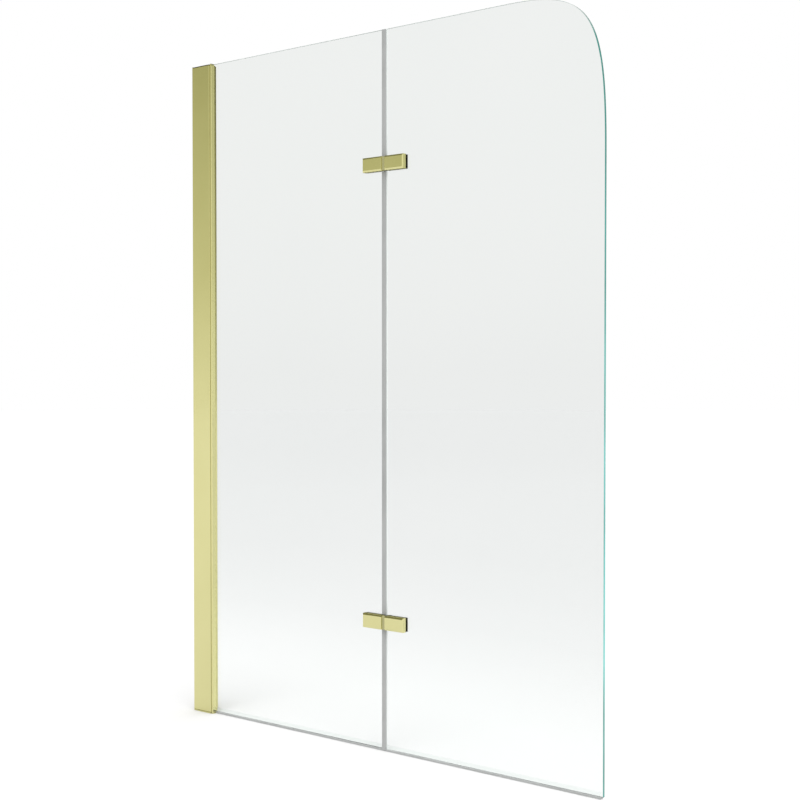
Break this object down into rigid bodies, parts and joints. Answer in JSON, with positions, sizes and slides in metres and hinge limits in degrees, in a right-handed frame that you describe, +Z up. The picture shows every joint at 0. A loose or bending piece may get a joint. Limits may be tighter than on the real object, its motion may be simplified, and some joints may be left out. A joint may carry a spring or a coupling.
{
  "type": "folding bath screen",
  "caption": "Frameless folding glass bath screen: a fixed pane in a gold wall profile and an outer pane with a soft rounded corner that folds inward on clamp hinges.",
  "frame": {"origin": "on the wall face of the channel, in the mid-plane of the glass, at the level of the bath rim", "axes": "+X from the wall to the free edge, +Y from the room into the bath, +Z up"},
  "size_m": [1, 0.0314, 1.4],
  "materials": {
    "gold_profile": "polished, gold anodised",
    "gold_cap": "gold metallised",
    "gold_hinge": "polished",
    "clear_glass": "clear, polished edges",
    "grey_seal": "translucent grey",
    "black_rubber": "matt",
    "white_nylon": "natural",
    "steel": "plain"
  },
  "bodies": {
    "wall_side": {"wall_channel": "gold_profile", "channel_top_cap": "gold_cap", "channel_bottom_cap": "gold_cap"},
    "fixed_panel": {"glazing_profile": "gold_profile", "glazing_top_cap": "gold_cap", "glazing_bottom_cap": "gold_cap", "glazing_gasket_room": "gold_cap", "glazing_gasket_bath": "gold_cap", "glass_edge_blocks": "white_nylon", "glass_setting_block": "white_nylon", "adjusting_screws": "steel", "adjusting_washers": "steel", "adjusting_covers": "gold_cap", "fixed_glass": "clear_glass", "hinge_gap_seal": "grey_seal", "fixed_bottom_seal": "grey_seal", "lower_hinge_pin": "steel", "lower_seam_strip": "grey_seal", "lower_fixed_front_plate": "gold_hinge", "lower_fixed_front_gasket": "black_rubber", "lower_fixed_back_gasket": "black_rubber", "lower_fixed_back_plate": "gold_hinge", "lower_fixed_clamp_screws": "steel", "lower_fixed_glass_sleeves": "white_nylon", "upper_hinge_pin": "steel", "upper_seam_strip": "grey_seal", "upper_fixed_front_plate": "gold_hinge", "upper_fixed_front_gasket": "black_rubber", "upper_fixed_back_gasket": "black_rubber", "upper_fixed_back_plate": "gold_hinge", "upper_fixed_clamp_screws": "steel", "upper_fixed_glass_sleeves": "white_nylon"},
    "folding_panel": {"folding_glass": "clear_glass", "folding_bottom_seal": "grey_seal", "lower_pivot_bushes": "white_nylon", "lower_folding_front_plate": "gold_hinge", "lower_folding_front_gasket": "black_rubber", "lower_folding_back_gasket": "black_rubber", "lower_folding_back_plate": "gold_hinge", "lower_folding_clamp_screws": "steel", "lower_folding_glass_sleeves": "white_nylon", "upper_pivot_bushes": "white_nylon", "upper_folding_front_plate": "gold_hinge", "upper_folding_front_gasket": "black_rubber", "upper_folding_back_gasket": "black_rubber", "upper_folding_back_plate": "gold_hinge", "upper_folding_clamp_screws": "steel", "upper_folding_glass_sleeves": "white_nylon"}
  },
  "joints": [
    {"name": "wall_adjust", "type": "slide", "parent": "wall_side", "child": "fixed_panel", "axis": [1, 0, 0], "range_m": [-0.0012, 0.015]},
    {"name": "panel_fold", "type": "hinge", "parent": "fixed_panel", "child": "folding_panel", "pos_m": [0.523, 0.011, 0], "axis": [0, 0, 1], "range_deg": [0, 180]}
  ]
}
